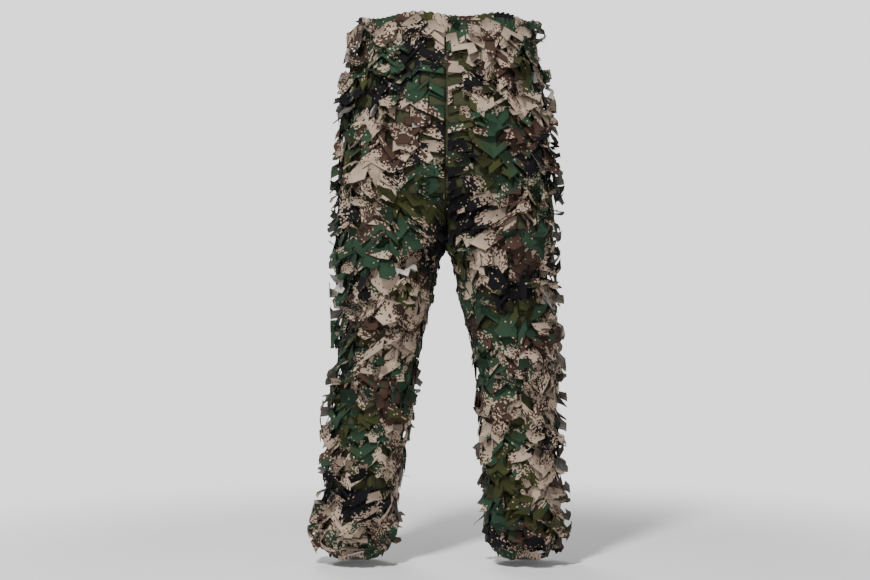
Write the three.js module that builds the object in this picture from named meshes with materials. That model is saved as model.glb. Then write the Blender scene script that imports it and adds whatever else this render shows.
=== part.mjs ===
/**
 * Trousers of a 3-D leaf camouflage suit, as worn: an elastic waistband, two legs sewn from a front and a
 * back panel each, fifteen rows of cut-leaf strip sewn round them one under the other, and elastic cuffs.
 *
 * Millimetres, +Z up. The origin is the centre of the waist opening, level with the top of the waistband.
 * The front of the trousers faces -Y, so the wearer's right leg is on the -X side.
 */

import * as THREE from "three";

// ---- Driving dimensions -------------------------------------------------------------------------------

/** Body of the garment: half widths and half depths of the cloth's outer face at each height. */
const WAIST_HALF_WIDTH = 163;
const WAIST_HALF_DEPTH = 95;
const HIGH_HIP_HALF_WIDTH = 186;
const HIGH_HIP_HALF_DEPTH = 104;
const HIP_HALF_WIDTH = 195;
const HIP_HALF_DEPTH = 108;

/** Legs: half widths and half depths of the cloth's outer face. */
const LEG_TOP_HALF_DEPTH = 100;
const THIGH_HALF_WIDTH = 80;
const THIGH_HALF_DEPTH = 84;
const KNEE_HALF_WIDTH = 70;
const KNEE_HALF_DEPTH = 74;
const CALF_HALF_WIDTH = 64;
const CALF_HALF_DEPTH = 66;
const CUFF_TOP_HALF_WIDTH = 54;
const CUFF_TOP_HALF_DEPTH = 55;
const HEM_HALF_WIDTH = 44;
const HEM_HALF_DEPTH = 45;

/** Distance of each leg's centre line from the centre seam, at the knee and at the cuff. */
const RIGHT_STANCE = { knee: 124, cuff: 170 };
const LEFT_STANCE = { knee: 130, cuff: 148 };

/** Heights along the garment. */
const WAISTBAND_HEIGHT = 38;
const SEAT_ROWS = 6;
const SEAT_ROW_PITCH = 65;
const THIGH_ROWS = 3;
const SHIN_ROWS = 6;
const LEG_ROW_PITCH = 60;
const CUFF_HEIGHT = 40;
const HIGH_HIP_DROP = 168;
const HIP_DROP = 298;
const THIGH_BELOW_CROTCH = 72;
const CALF_ABOVE_CUFF = 120;

/** Cloth, sewn edges and leaf strips. */
const CLOTH = 2;
const SEAM_GAP = 0.5;
const CASING_CLOTH = 1.5;
const WAIST_ELASTIC = { height: 26, thickness: 2 };
const CUFF_ELASTIC = { height: 18, thickness: 2 };
const ELASTIC_CLEARANCE = 0.6;
const STRIP_THICKNESS = 3;
const STRIP_ROOT_LIFT = 1.2;
const STRIP_TIP_LIFT = 12;
const STRIP_NOTCH = 14;
const STRIP_GAP = 1;

/** Facets round a quarter of the seat, which is also half of a leg. */
const QUARTER_STEPS = 10;

/** How much of each quarter the lowest seat strips and the top leg strip cover; the others cover it all. */
const STRIP_REACH_ABOVE_CROTCH = 8;
const STRIP_REACH_AT_CROTCH = 7;

// ---- Heights that follow from them --------------------------------------------------------------------

const WAISTBAND_BOTTOM = -WAISTBAND_HEIGHT;
const CROTCH = WAISTBAND_BOTTOM - SEAT_ROWS * SEAT_ROW_PITCH;
const KNEE = CROTCH - THIGH_ROWS * LEG_ROW_PITCH;
const CUFF_TOP = KNEE - SHIN_ROWS * LEG_ROW_PITCH;
const HEM = CUFF_TOP - CUFF_HEIGHT;
/** The seat starts to part into two legs two rows above the crotch. */
const PARTING = CROTCH + 2 * SEAT_ROW_PITCH;
/** Each leg's inner edge meets the centre seam at the crotch. */
const LEG_TOP_CENTRE = HIP_HALF_WIDTH / 2 + SEAM_GAP;
const LEG_TOP_HALF_WIDTH = HIP_HALF_WIDTH / 2;

const RIGHT = { name: "right", side: -1, stance: RIGHT_STANCE };
const LEFT = { name: "left", side: 1, stance: LEFT_STANCE };

// ---- Materials ----------------------------------------------------------------------------------------

const finish = (color, roughness) => new THREE.MeshStandardMaterial({ color, roughness, metalness: 0 });

const BASE_CLOTH = finish(0x2a2e22, 0.9);
const PRINTED_CLOTH = finish(0x7f7867, 0.88);
const LEAF_TAN = finish(0xb5a894, 0.9);
const LEAF_GREEN = finish(0x4a5a43, 0.9);
const ELASTIC = finish(0x1d1d1b, 0.8);

// ---- The garment's surface ----------------------------------------------------------------------------

/** Value at height z on straight runs between [height, value] stations listed from the top down. */
function along(stations, z) {
  const below = stations.findIndex(([height]) => height <= z);
  if (below === 0) return stations[0][1];
  if (below < 0) return stations.at(-1)[1];
  const [z0, v0] = stations[below - 1];
  const [z1, v1] = stations[below];
  return THREE.MathUtils.mapLinear(z, z0, z1, v0, v1);
}

const SEAT_WIDTH = [
  [WAISTBAND_BOTTOM, WAIST_HALF_WIDTH],
  [-HIGH_HIP_DROP, HIGH_HIP_HALF_WIDTH],
  [-HIP_DROP, HIP_HALF_WIDTH],
];
const SEAT_DEPTH = [
  [WAISTBAND_BOTTOM, WAIST_HALF_DEPTH],
  [-HIGH_HIP_DROP, HIGH_HIP_HALF_DEPTH],
  [-HIP_DROP, HIP_HALF_DEPTH],
];
const LEG_WIDTH = [
  [CROTCH, LEG_TOP_HALF_WIDTH],
  [CROTCH - THIGH_BELOW_CROTCH, THIGH_HALF_WIDTH],
  [KNEE, KNEE_HALF_WIDTH],
  [CUFF_TOP + CALF_ABOVE_CUFF, CALF_HALF_WIDTH],
  [CUFF_TOP, CUFF_TOP_HALF_WIDTH],
  [HEM, HEM_HALF_WIDTH],
];
const LEG_DEPTH = [
  [CROTCH, LEG_TOP_HALF_DEPTH],
  [CROTCH - THIGH_BELOW_CROTCH, THIGH_HALF_DEPTH],
  [KNEE, KNEE_HALF_DEPTH],
  [CUFF_TOP + CALF_ABOVE_CUFF, CALF_HALF_DEPTH],
  [CUFF_TOP, CUFF_TOP_HALF_DEPTH],
  [HEM, HEM_HALF_DEPTH],
];
const legCentre = ({ stance }, z) =>
  along([[CROTCH, LEG_TOP_CENTRE], [KNEE, stance.knee], [CUFF_TOP, stance.cuff]], z);

/**
 * Point of the cloth's outer face, as distance from the centre seam and depth. `turn` runs from -1 at the
 * centre front (or inseam) over 0 at the side seam to 1 at the centre back (or inseam). Above the parting
 * the section is half of the seat's ellipse, below the crotch it is the leg's whole ellipse.
 */
function section(leg, turn, z) {
  const parted = z <= CROTCH ? 1 : THREE.MathUtils.smoothstep(-z, -PARTING, -CROTCH);
  const half = Math.PI / 2;
  const seat = new THREE.Vector2(
    along(SEAT_WIDTH, z) * Math.cos(turn * half),
    along(SEAT_DEPTH, z) * Math.sin(turn * half),
  );
  const limb = new THREE.Vector2(
    legCentre(leg, z) + along(LEG_WIDTH, z) * Math.cos(turn * Math.PI),
    along(LEG_DEPTH, z) * Math.sin(turn * Math.PI),
  );
  return seat.lerp(limb, parted);
}

/** The same point lifted off the cloth by `lift`, square to the section, and kept out of the seams. */
function lifted(leg, turn, z, lift) {
  const step = 0.5 / QUARTER_STEPS;
  const ahead = section(leg, Math.min(turn + step, 1), z);
  const along2d = ahead.sub(section(leg, Math.max(turn - step, -1), z)).normalize();
  const point = section(leg, turn, z);
  const atCentre = Math.abs(turn) === 1;
  if (atCentre && z > PARTING) along2d.set(-turn, 0);
  if (atCentre && z <= CROTCH) along2d.set(0, -1);
  if (turn === 0) along2d.set(0, 1);
  const x = point.x + along2d.y * lift;
  const y = point.y - along2d.x * lift;
  return new THREE.Vector3(leg.side * Math.max(x, SEAM_GAP / 2), y, z);
}

// ---- Solids -------------------------------------------------------------------------------------------

/**
 * A solid swept through equal cross-sections: `rings` is a list of rings with equal numbers of corners.
 * A closed sweep joins its last ring to its first, an open one has flat ends.
 */
function sweep(rings, closed) {
  const corners = rings[0].length;
  const index = [];
  const at = (ring, corner) => (ring % rings.length) * corners + (corner % corners);
  const runs = closed ? rings.length : rings.length - 1;
  for (let ring = 0; ring < runs; ring += 1) {
    for (let corner = 0; corner < corners; corner += 1) {
      const [a, b] = [at(ring, corner), at(ring, corner + 1)];
      const [c, d] = [at(ring + 1, corner + 1), at(ring + 1, corner)];
      index.push(a, b, c, a, c, d);
    }
  }
  if (!closed) {
    const last = (rings.length - 1) * corners;
    for (let corner = 1; corner < corners - 1; corner += 1) {
      index.push(0, corner + 1, corner, last, last + corner, last + corner + 1);
    }
  }
  return outward(rings.flat(), index);
}

/** A geometry of these points and triangles, turned so that its faces point out. */
function outward(points, index) {
  const volume = index.reduce((sum, _, i) => {
    if (i % 3) return sum;
    const [a, b, c] = [points[index[i]], points[index[i + 1]], points[index[i + 2]]];
    return sum + a.dot(new THREE.Vector3().crossVectors(b, c));
  }, 0);
  const geometry = new THREE.BufferGeometry().setFromPoints(points);
  geometry.setIndex(volume > 0 ? index : index.reverse());
  geometry.computeVertexNormals();
  return geometry;
}

/** A curved slab of cloth between two grids of points, outer[row][column] and inner[row][column]. */
function slab(outer, inner) {
  const rows = outer.length;
  const columns = outer[0].length;
  const index = [];
  const at = (face, row, column) => face * rows * columns + row * columns + column;
  for (let row = 0; row < rows - 1; row += 1) {
    for (let column = 0; column < columns - 1; column += 1) {
      for (const face of [0, 1]) {
        const a = at(face, row, column);
        const b = at(face, row, column + 1);
        const c = at(face, row + 1, column + 1);
        const d = at(face, row + 1, column);
        if (face === 0) index.push(a, b, c, a, c, d);
        else index.push(a, c, b, a, d, c);
      }
    }
  }
  const rim = [];
  for (let column = 0; column < columns - 1; column += 1) rim.push([0, column]);
  for (let row = 0; row < rows - 1; row += 1) rim.push([row, columns - 1]);
  for (let column = columns - 1; column > 0; column -= 1) rim.push([rows - 1, column]);
  for (let row = rows - 1; row > 0; row -= 1) rim.push([row, 0]);
  rim.forEach(([row, column], i) => {
    const [nextRow, nextColumn] = rim[(i + 1) % rim.length];
    const [a, b] = [at(0, row, column), at(0, nextRow, nextColumn)];
    const [c, d] = [at(1, nextRow, nextColumn), at(1, row, column)];
    index.push(b, a, d, b, d, c);
  });
  return outward([...outer.flat(), ...inner.flat()], index);
}

/** Equally spaced values from `from` to `to`, both included. */
const spaced = (from, to, steps) =>
  Array.from({ length: steps + 1 }, (_, i) => THREE.MathUtils.lerp(from, to, i / steps));

/** Edges of the panels stand a little off the seams, so that front and back don't touch. */
function offSeam(point, turn, z) {
  const away = turn < 0 || Object.is(turn, -0) ? -1 : 1;
  const atSide = turn === 0;
  const atInseam = Math.abs(turn) === 1 && z <= CROTCH + SEAM_GAP;
  if (atSide || atInseam) point.y = away * Math.max(Math.abs(point.y), SEAM_GAP / 2);
  return point;
}

// ---- Panels -------------------------------------------------------------------------------------------

/** Front or back panel of one leg between two heights, with a level at every row of leaf strip. */
function panel(leg, back, top, bottom, rows) {
  const levels = spaced(top - SEAM_GAP / 2, bottom + SEAM_GAP / 2, rows);
  const turns = spaced(0, 1, QUARTER_STEPS).map((turn) => (back ? turn : -turn));
  const face = (lift) =>
    levels.map((z) => turns.map((turn) => offSeam(lifted(leg, turn, z, lift), turn, z)));
  return slab(face(0), face(-CLOTH));
}

// ---- Leaf strips --------------------------------------------------------------------------------------

/** One row of leaf strip: a C-shaped flared band sewn on along its top, with a zigzag lower edge. */
function leafStrip(leg, top, pitch, reach) {
  const bottom = top - pitch + STRIP_GAP / 2;
  const turns = spaced(-reach, reach, 2 * reach).map((step) => step / QUARTER_STEPS);
  return sweep(
    turns.map((turn, i) => {
      const tip = bottom + (i % 2 ? STRIP_NOTCH : 0);
      const root = top - STRIP_GAP / 2;
      return [
        stripPoint(leg, turn, root, STRIP_ROOT_LIFT),
        stripPoint(leg, turn, root, STRIP_ROOT_LIFT + STRIP_THICKNESS),
        stripPoint(leg, turn, tip, STRIP_TIP_LIFT + STRIP_THICKNESS),
        stripPoint(leg, turn, tip, STRIP_TIP_LIFT),
      ];
    }),
    false,
  );
}

/** A strip's corner; where the two ends meet at an inseam they leave a slit between them. */
function stripPoint(leg, turn, z, lift) {
  const point = lifted(leg, turn, z, lift);
  if (Math.abs(turn) === 1 && z < CROTCH) point.y = Math.sign(turn) * SEAM_GAP;
  return point;
}

// ---- Elastic casings ----------------------------------------------------------------------------------

/** The garment's full section at height z as a closed ring: the waist, or one leg's cuff. */
function ring(leg, z, lift) {
  if (leg) return spaced(-1, 1, 2 * QUARTER_STEPS).slice(1).map((turn) => lifted(leg, turn, z, lift));
  return spaced(0, 1, 4 * QUARTER_STEPS).slice(1).map((share) => {
    const angle = share * 2 * Math.PI;
    const x = (along(SEAT_WIDTH, z) + lift) * Math.cos(angle);
    const y = (along(SEAT_DEPTH, z) + lift) * Math.sin(angle);
    return new THREE.Vector3(x, y, z);
  });
}

/** Sweeps a cross-section of [height, lift] corners round the waist or a cuff. */
function hoop(leg, corners) {
  const rings = corners.map(([z, lift]) => ring(leg, z, lift));
  return sweep(rings[0].map((_, i) => rings.map((points) => points[i])), true);
}

/** Casing folded over an elastic: closed at its `fold` edge and open along its `mouth` edge. */
function casing(leg, fold, mouth, elastic) {
  const into = Math.sign(mouth - fold);
  const inside = fold + into * CASING_CLOTH;
  const cavity = elastic.thickness + 2 * ELASTIC_CLEARANCE;
  const outer = CASING_CLOTH;
  return hoop(leg, [
    [mouth, outer],
    [fold, outer],
    [fold, -cavity - CASING_CLOTH],
    [mouth, -cavity - CASING_CLOTH],
    [mouth, -cavity],
    [inside, -cavity],
    [inside, 0],
    [mouth, 0],
  ]);
}

/** The elastic inside a casing, held off its cloth on every side. */
function elasticBand(leg, fold, mouth, elastic) {
  const into = Math.sign(mouth - fold);
  const near = fold + into * (CASING_CLOTH + ELASTIC_CLEARANCE);
  const far = near + into * elastic.height;
  const outer = -ELASTIC_CLEARANCE;
  const inner = outer - elastic.thickness;
  return hoop(leg, [[near, outer], [near, inner], [far, inner], [far, outer]]);
}

// ---- Assembly -----------------------------------------------------------------------------------------

const trousers = new THREE.Group();

function add(name, geometry, material) {
  const mesh = new THREE.Mesh(geometry, material);
  mesh.name = name;
  trousers.add(mesh);
}

/** Strips reach the centre seam, except round the crotch, where they stop short of it. */
function stripReach(row, rows, part) {
  if (part === "seat" && row === rows) return STRIP_REACH_AT_CROTCH;
  if (part === "seat" && row === rows - 1) return STRIP_REACH_ABOVE_CROTCH;
  if (part === "thigh" && row === 1) return STRIP_REACH_AT_CROTCH;
  return QUARTER_STEPS;
}

const SEGMENTS = [
  { part: "seat", top: WAISTBAND_BOTTOM, rows: SEAT_ROWS, pitch: SEAT_ROW_PITCH },
  { part: "thigh", top: CROTCH, rows: THIGH_ROWS, pitch: LEG_ROW_PITCH },
  { part: "shin", top: KNEE, rows: SHIN_ROWS, pitch: LEG_ROW_PITCH },
];

add("waistband", casing(null, 0, WAISTBAND_BOTTOM + SEAM_GAP, WAIST_ELASTIC), PRINTED_CLOTH);
add("waist_elastic", elasticBand(null, 0, WAISTBAND_BOTTOM, WAIST_ELASTIC), ELASTIC);

for (const leg of [RIGHT, LEFT]) {
  for (const { part, top, rows, pitch } of SEGMENTS) {
    const bottom = top - rows * pitch;
    add(`${leg.name}_front_${part}_panel`, panel(leg, false, top, bottom, rows), BASE_CLOTH);
    add(`${leg.name}_back_${part}_panel`, panel(leg, true, top, bottom, rows), BASE_CLOTH);
    for (let row = 1; row <= rows; row += 1) {
      const rowTop = top - (row - 1) * pitch;
      const strip = leafStrip(leg, rowTop, pitch, stripReach(row, rows, part));
      add(`${leg.name}_${part}_leaf_row_${row}`, strip, row % 2 ? LEAF_TAN : LEAF_GREEN);
    }
  }
  add(`${leg.name}_cuff`, casing(leg, HEM, CUFF_TOP - SEAM_GAP, CUFF_ELASTIC), PRINTED_CLOTH);
  add(`${leg.name}_cuff_elastic`, elasticBand(leg, HEM, CUFF_TOP, CUFF_ELASTIC), ELASTIC);
}

export default trousers;
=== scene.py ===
"""Leaf camouflage suit trousers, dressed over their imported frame.

The frame gives every size and place: the waistband, fifteen rows of cut-leaf strip on each side and the cuffs.
This script sews the cloth over it: plain olive panels, gathered waistband and cuffs, and on every row a zigzag
cut strip with loose leaves hanging over it. Metres, +Z up, the front faces -Y.
"""

import logging
import math
import random
from collections.abc import Callable
from dataclasses import dataclass, field
from enum import Enum

import bmesh
import bpy
import numpy as np
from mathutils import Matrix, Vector, noise


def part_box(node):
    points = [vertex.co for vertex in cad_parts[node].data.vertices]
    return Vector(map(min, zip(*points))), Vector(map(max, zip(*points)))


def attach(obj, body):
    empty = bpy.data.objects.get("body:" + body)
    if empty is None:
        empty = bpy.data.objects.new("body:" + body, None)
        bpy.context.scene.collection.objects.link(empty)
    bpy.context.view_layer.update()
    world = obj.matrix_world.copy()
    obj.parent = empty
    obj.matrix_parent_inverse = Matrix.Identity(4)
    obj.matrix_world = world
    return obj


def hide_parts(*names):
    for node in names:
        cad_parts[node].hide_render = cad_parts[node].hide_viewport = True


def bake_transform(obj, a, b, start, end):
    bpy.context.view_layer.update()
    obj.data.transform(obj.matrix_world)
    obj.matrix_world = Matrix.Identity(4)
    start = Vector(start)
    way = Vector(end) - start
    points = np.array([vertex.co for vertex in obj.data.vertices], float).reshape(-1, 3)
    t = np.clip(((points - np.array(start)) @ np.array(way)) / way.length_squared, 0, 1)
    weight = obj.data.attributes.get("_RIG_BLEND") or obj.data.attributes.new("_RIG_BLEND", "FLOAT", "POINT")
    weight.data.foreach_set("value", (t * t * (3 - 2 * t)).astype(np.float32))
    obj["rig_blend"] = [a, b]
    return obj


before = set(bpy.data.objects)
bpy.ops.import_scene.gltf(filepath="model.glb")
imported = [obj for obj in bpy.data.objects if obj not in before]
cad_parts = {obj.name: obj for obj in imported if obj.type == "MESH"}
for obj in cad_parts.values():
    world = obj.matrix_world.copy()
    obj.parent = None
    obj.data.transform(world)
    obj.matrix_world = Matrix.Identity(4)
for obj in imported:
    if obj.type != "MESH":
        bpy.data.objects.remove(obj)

CLOTH_MAP = "cloth"
TONE = "tone"
LEAN = "lean"
SEWN = "sewn"
MAP_STEP = 3.0
CUT_EDGE = 0.0015
# Tone at the cut edge: the hot-cut edge's dark line plus painted shadow along the edges.
CUT_EDGE_SEAL_AND_SHADOW_TONE = 0.3
log = logging.getLogger("trousers")


class Side(Enum):
    """Which leg of the wearer; the value is the sign of its X."""

    RIGHT = -1
    LEFT = 1

    @property
    def word(self) -> str:
        """The side's name as the frame's nodes spell it."""
        return self.name.lower()


class Part(Enum):
    """Stretch of a leg, named as the frame's nodes spell it, with its number of leaf rows."""

    SEAT = ("seat", 6)
    THIGH = ("thigh", 3)
    SHIN = ("shin", 6)

    @property
    def word(self) -> str:
        """The stretch's name in the frame."""
        return self.value[0]

    @property
    def rows(self) -> int:
        """Its number of leaf rows."""
        return self.value[1]


class Ink(Enum):
    """What a large patch of the print leans towards: its brown, green and dark shares."""

    TAN = (0.1, -0.6, -0.7)
    BROWN = (1.0, -0.6, -0.5)
    GREEN = (0.0, 1.0, -0.3)
    DARK = (0.0, 0.3, 1.0)


@dataclass(frozen=True)
class Patch:
    """Large patch of the print on the front of the garment, as the cloth happens to be cut."""

    ink: Ink
    x: float
    z: float
    radius: float


PATCHES = (
    Patch(Ink.GREEN, -0.085, -0.045, 0.035),
    Patch(Ink.GREEN, 0.150, -0.100, 0.035),
    Patch(Ink.BROWN, 0.100, -0.035, 0.030),
    Patch(Ink.DARK, -0.120, -0.125, 0.030),
    Patch(Ink.GREEN, -0.055, -0.135, 0.035),
    Patch(Ink.TAN, 0.110, -0.180, 0.055),
    Patch(Ink.TAN, -0.130, -0.230, 0.055),
    Patch(Ink.GREEN, 0.100, -0.280, 0.045),
    Patch(Ink.GREEN, -0.075, -0.310, 0.050),
    Patch(Ink.DARK, 0.005, -0.320, 0.050),
    Patch(Ink.DARK, 0.030, -0.390, 0.040),
    Patch(Ink.BROWN, -0.140, -0.410, 0.040),
    Patch(Ink.TAN, -0.080, -0.460, 0.045),
    Patch(Ink.GREEN, 0.075, -0.520, 0.045),
    Patch(Ink.BROWN, 0.150, -0.450, 0.040),
    Patch(Ink.DARK, -0.160, -0.500, 0.035),
    Patch(Ink.TAN, -0.100, -0.580, 0.055),
    Patch(Ink.TAN, 0.140, -0.600, 0.045),
    Patch(Ink.GREEN, -0.180, -0.730, 0.040),
    Patch(Ink.TAN, -0.120, -0.780, 0.050),
    Patch(Ink.BROWN, 0.110, -0.720, 0.040),
    Patch(Ink.DARK, 0.170, -0.790, 0.030),
    Patch(Ink.GREEN, 0.105, -0.830, 0.040),
    Patch(Ink.DARK, -0.150, -0.900, 0.035),
    Patch(Ink.TAN, -0.155, -0.955, 0.030),
    Patch(Ink.BROWN, 0.135, -0.960, 0.035),
)


def lean(place: Vector) -> tuple[float, float, float, float]:
    """Work out what the print leans towards at a place on the garment.

    Args:
        place: A point of the cloth at rest.

    Returns:
        How much it leans towards brown, green and dark, and an alpha of 1.
    """
    total = np.zeros(3)
    if place.y < 0:
        for patch in PATCHES:
            apart = ((place.x - patch.x) ** 2 + (place.z - patch.z) ** 2) / patch.radius**2
            total += np.array(patch.ink.value) * math.exp(-apart)
    return (*map(float, total), 1.0)


def ramp(value: np.ndarray, start: float, end: float) -> np.ndarray:
    """Rise from 0 at the start to 1 at the end, level outside them; the end may be the lower of the two."""
    return np.clip((value - start) / (end - start), 0, 1)


def eased(share: np.ndarray) -> np.ndarray:
    """Round off both ends of a rise from 0 to 1."""
    return share * share * (3 - 2 * share)


# ---- The garment's surface --------------------------------------------------------------------------------


@dataclass
class GarmentShape:
    """The cloth's outer surface, worked out from the frame's boxes.

    A point is given by its side, its turn (-1 at the centre front or inseam, 0 at the side seam, 1 at the
    centre back or inseam), its height and its lift off the cloth. Pairs are where a change starts and ends: in
    turn, in thigh lengths below the crotch for parted, or in metres below the crotch for the notch.
    """

    row_stand_off: float = 0.015
    casing: float = 0.0015
    hem_share: float = 0.81
    seam_clearance: float = 0.0003
    slope_step: float = 0.03
    drape: float = 0.00225
    drape_waves: tuple = ((2, 21.0), (3, -33.0))
    drape_phase: float = 1.7
    drape_held: int = 6
    blouse: float = 0.0105
    blouse_above_cuff: float = 0.015
    blouse_spread: float = 0.036
    rubbed: float = 0.3
    rubbed_in_leg: float = 0.45
    rubbed_turn: tuple = (0.55, 0.9)
    freed: float = 0.75
    parted: tuple = (0.6, 1.6)
    notch: float = 0.008
    notch_turn: tuple = (0.5, 0.9)
    notch_opens: tuple = (0.0, 0.015)
    notch_closes: tuple = (0.016, 0.096)
    past_inseam: float = 0.15
    past_inseam_run: float = 0.05

    def __post_init__(self) -> None:
        """Read the stations of both sides from the frame."""
        band_low, band_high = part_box("waistband")
        self.waist_top = band_high.z
        self.waist_bottom = band_low.z
        self.seat = self._seat_stations(band_high)
        self.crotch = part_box("left_seat_leaf_row_6")[0].z
        self.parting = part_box("left_seat_leaf_row_4")[0].z
        self.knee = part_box("left_thigh_leaf_row_3")[0].z
        self.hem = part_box("left_cuff")[0].z
        self.cuff_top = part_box("left_cuff")[1].z
        self.leg = {side: self._leg_stations(side) for side in Side}

    def _seat_stations(self, band_high: Vector) -> np.ndarray:
        """Read the seat's ellipse off the waistband and the rows.

        Args:
            band_high: The waistband's upper corner.

        Returns:
            Height, half width and half depth of each station, from the top down.
        """
        rows = [(self.waist_bottom, band_high.x - self.casing, band_high.y - self.casing)]
        for row in range(1, 5):
            low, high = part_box(f"left_seat_leaf_row_{row}")
            rows.append((low.z, high.x - self.row_stand_off, high.y - self.row_stand_off))
        return np.array(rows)

    def _leg_stations(self, side: Side) -> np.ndarray:
        """Read a leg's ellipse off its rows.

        Args:
            side: The leg.

        Returns:
            Height, distance of the centre line from the centre seam, half width and half depth of each station.
        """
        low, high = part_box(f"{side.word}_seat_leaf_row_6")
        half = self.seat[-1, 1] / 2
        rows = [(low.z, half, half, high.y - self.row_stand_off)]
        nodes = [f"{side.word}_thigh_leaf_row_{row}" for row in (2, 3)]
        nodes += [f"{side.word}_shin_leaf_row_{row}" for row in range(1, 7)]
        for node in nodes:
            low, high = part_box(node)
            centre = side.value * (low.x + high.x) / 2
            width = (high.x - low.x) / 2 - self.row_stand_off
            rows.append((low.z, centre, width, (high.y - low.y) / 2 - self.row_stand_off))
        height, centre, width, depth = rows[-1]
        rows.append((self.hem, centre, width * self.hem_share, depth * self.hem_share))
        return np.array(rows)

    @staticmethod
    def _at(stations: np.ndarray, z: np.ndarray) -> list[np.ndarray]:
        """Values of a table of stations, kept from the top down, at some heights."""
        rising = stations[::-1]
        return [np.interp(z, rising[:, 0], rising[:, i]) for i in range(1, rising.shape[1])]

    def _section(self, side: Side, turn: np.ndarray, z: np.ndarray) -> tuple[np.ndarray, np.ndarray]:
        """Distance from the centre seam and depth of the cloth at rest, without its folds.

        Args:
            side: The leg.
            turn: Place round the section.
            z: Height of each point.

        Returns:
            The two coordinates of each point.
        """
        share = eased(ramp(z, self.parting, self.crotch))
        half_width, half_depth = self._at(self.seat, z)
        centre, leg_width, leg_depth = self._at(self.leg[side], z)
        seat_x = half_width * np.cos(turn * math.pi / 2)
        seat_y = half_depth * np.sin(turn * math.pi / 2)
        leg_x = centre + leg_width * np.cos(turn * math.pi)
        leg_y = leg_depth * np.sin(turn * math.pi)
        return seat_x + (leg_x - seat_x) * share, seat_y + (leg_y - seat_y) * share

    def _folds(self, side: Side, turn: np.ndarray, z: np.ndarray) -> np.ndarray:
        """Work out how far the cloth stands out of its plain shape in soft folds and above the cuffs.

        Args:
            side: The leg.
            turn: Place round the section.
            z: Height of each point.

        Returns:
            The distance for each point.
        """
        soft = np.zeros_like(z)
        for number, (waves, slope) in enumerate(self.drape_waves, 1):
            soft = soft + np.sin(math.pi * (waves * turn) + z * slope + number * self.drape_phase * side.value)
        over_cuff = np.exp(-(((z - self.cuff_top - self.blouse_above_cuff) / self.blouse_spread) ** 2))
        return (1 - np.abs(turn) ** self.drape_held) * self.drape * soft + self.blouse * over_cuff

    def kept(self, turn: np.ndarray, z: np.ndarray) -> np.ndarray:
        """Share of its lift that cloth keeps: less on the inside of the thighs, where they rub past.

        Args:
            turn: Place round the section.
            z: Height of each point.

        Returns:
            The share for each point, 1 where nothing rubs.
        """
        inner = eased(ramp(np.abs(turn), *self.rubbed_turn))
        apart = ramp((self.crotch - z) / (self.crotch - self.knee), *self.parted)
        rubbed = self.rubbed + self.rubbed_in_leg * ramp(z, self.parting, self.crotch)
        return 1 - rubbed * (1 - self.freed * apart) * inner

    def _notched(self, turn: np.ndarray, below: np.ndarray) -> np.ndarray:
        """Distance that the inseam is drawn away from the other leg, just below the crotch."""
        open_share = ramp(below, *self.notch_opens) * (1 - ramp(below, *self.notch_closes))
        return self.notch * ramp(np.abs(turn), *self.notch_turn) * open_share


    def quarter(self, side: Side, z: float) -> float:
        """Length of cloth from the side seam to the centre seam or inseam at a height."""
        turn = np.linspace(0, 1, 33)
        x, y = self._section(side, turn, np.full_like(turn, z))
        return float(np.hypot(np.diff(x), np.diff(y)).sum())

    def points(self, side: Side, turn: np.ndarray, z: np.ndarray, lift: np.ndarray) -> np.ndarray:
        """Places of points given on the garment's surface.

        Args:
            side: The leg.
            turn: Place round the section of each point.
            z: Height of each point.
            lift: Distance of each point off the cloth.

        Returns:
            One row of X, Y and Z for each point.
        """
        below = self.crotch - z
        reach = 1 + self.past_inseam * ramp(below, 0, self.past_inseam_run)
        turn = np.clip(turn, -reach, reach)
        x, y = self._section(side, turn, z)
        x1, y1 = self._section(side, turn + self.slope_step, z)
        x0, y0 = self._section(side, turn - self.slope_step, z)
        length = np.hypot(x1 - x0, y1 - y0)
        out = lift + self._folds(side, turn, z)
        x = x + (y1 - y0) / length * out + self._notched(turn, below)
        y = y - (x1 - x0) / length * out
        return np.stack([side.value * np.maximum(x, self.seam_clearance), y, z], axis=1)


# ---- Finishes ---------------------------------------------------------------------------------------------


class NodeTree:
    """Builds the nodes of one material or world."""

    def __init__(self, owner: bpy.types.Material | bpy.types.World) -> None:
        """Start with no nodes."""
        owner.use_nodes = True
        self.owner = owner
        self.tree = owner.node_tree
        self.tree.nodes.clear()

    @classmethod
    def of_material(cls, name: str) -> "NodeTree":
        """Start a new material of that name."""
        return cls(bpy.data.materials.new(name))


    def node(self, kind: str, inputs: dict | None = None, **settings: object) -> bpy.types.Node:
        """Add a node.

        Args:
            kind: The node's type after "ShaderNode".
            inputs: What each input socket holds: another socket, or a value.
            settings: The node's own settings.

        Returns:
            The new node.
        """
        made = self.tree.nodes.new(f"ShaderNode{kind}")
        for name, value in settings.items():
            setattr(made, name, value)
        for key, value in (inputs or {}).items():
            if isinstance(value, bpy.types.NodeSocket):
                self.tree.links.new(value, made.inputs[key])
            else:
                made.inputs[key].default_value = value
        return made

    def math(self, operation: str, a: object, b: object = 0.0) -> bpy.types.NodeSocket:
        """Result of a Math node on one or two values or sockets."""
        return self.node("Math", {0: a, 1: b}, operation=operation).outputs[0]

    def vector(self, operation: str, a: object, b: object) -> bpy.types.NodeSocket:
        """Result of a Vector Math node on two vectors or sockets."""
        return self.node("VectorMath", {0: a, 1: b}, operation=operation).outputs[0]

    def mix(self, factor: object, a: object, b: object, blend_type: str = "MIX") -> bpy.types.NodeSocket:
        """Colour between two colours or sockets."""
        made = self.node("Mix", {0: factor, 6: a, 7: b}, data_type="RGBA", blend_type=blend_type)
        return made.outputs[2]

    def finish(self, shader: bpy.types.Node, output: str = "OutputMaterial") -> object:
        """Join the shader to the output and return the material or the world."""
        self.node(output, {"Surface": shader.outputs[0]})
        return self.owner


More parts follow.
